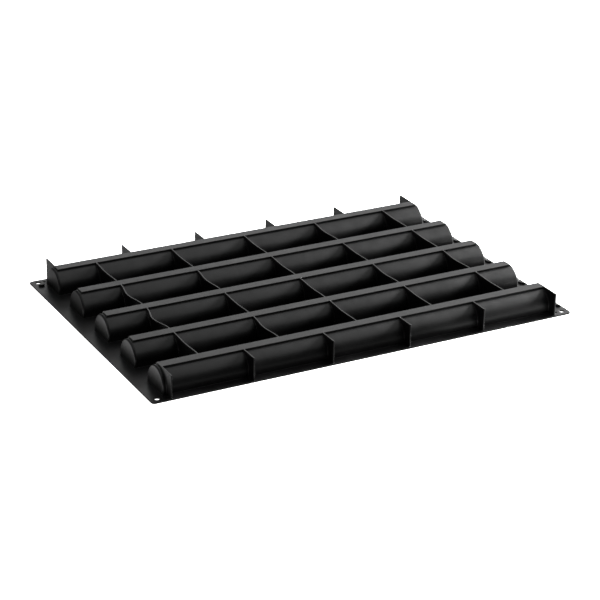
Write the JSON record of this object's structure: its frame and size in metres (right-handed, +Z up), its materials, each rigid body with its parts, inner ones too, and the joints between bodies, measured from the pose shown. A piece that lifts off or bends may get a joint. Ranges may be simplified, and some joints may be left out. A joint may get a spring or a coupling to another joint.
{
  "type": "baguette tray",
  "caption": "Flexible silicone baguette mould: round-topped troughs moulded into one flat rim sheet, stiffened by thin webs, shown lying upside down.",
  "frame": {"origin": "middle of the rim sheet, on its face that lies on the table", "axes": "+X along the troughs, +Y across them, +Z up from the table towards the foot strips"},
  "size_m": [0.6, 0.4, 0.032],
  "materials": {
    "silicone": "satin"
  },
  "bodies": {
    "root": {"foot_strip_1": "silicone", "foot_strip_2": "silicone", "foot_strip_3": "silicone", "foot_strip_4": "silicone", "foot_strip_5": "silicone", "inner_web_1_1": "silicone", "inner_web_1_2": "silicone", "inner_web_1_3": "silicone", "inner_web_1_4": "silicone", "inner_web_1_5": "silicone", "inner_web_2_1": "silicone", "inner_web_2_2": "silicone", "inner_web_2_3": "silicone", "inner_web_2_4": "silicone", "inner_web_2_5": "silicone", "inner_web_3_1": "silicone", "inner_web_3_2": "silicone", "inner_web_3_3": "silicone", "inner_web_3_4": "silicone", "inner_web_3_5": "silicone", "inner_web_4_1": "silicone", "inner_web_4_2": "silicone", "inner_web_4_3": "silicone", "inner_web_4_4": "silicone", "inner_web_4_5": "silicone", "margin_lip_1": "silicone", "margin_lip_2": "silicone", "margin_lip_3": "silicone", "margin_lip_4": "silicone", "margin_lip_5": "silicone", "margin_lip_corner": "silicone", "outer_web_back_1": "silicone", "outer_web_back_2": "silicone", "outer_web_back_3": "silicone", "outer_web_back_4": "silicone", "outer_web_back_5": "silicone", "outer_web_back_6": "silicone", "outer_web_front_1": "silicone", "outer_web_front_2": "silicone", "outer_web_front_3": "silicone", "outer_web_front_4": "silicone", "outer_web_front_5": "silicone", "outer_web_front_6": "silicone", "rim_sheet": "silicone", "trough_1_end_left": "silicone", "trough_1_end_right": "silicone", "trough_1_shell": "silicone", "trough_2_end_left": "silicone", "trough_2_end_right": "silicone", "trough_2_shell": "silicone", "trough_3_end_left": "silicone", "trough_3_end_right": "silicone", "trough_3_shell": "silicone", "trough_4_end_left": "silicone", "trough_4_end_right": "silicone", "trough_4_shell": "silicone", "trough_5_end_left": "silicone", "trough_5_end_right": "silicone", "trough_5_shell": "silicone"}
  },
  "joints": []
}
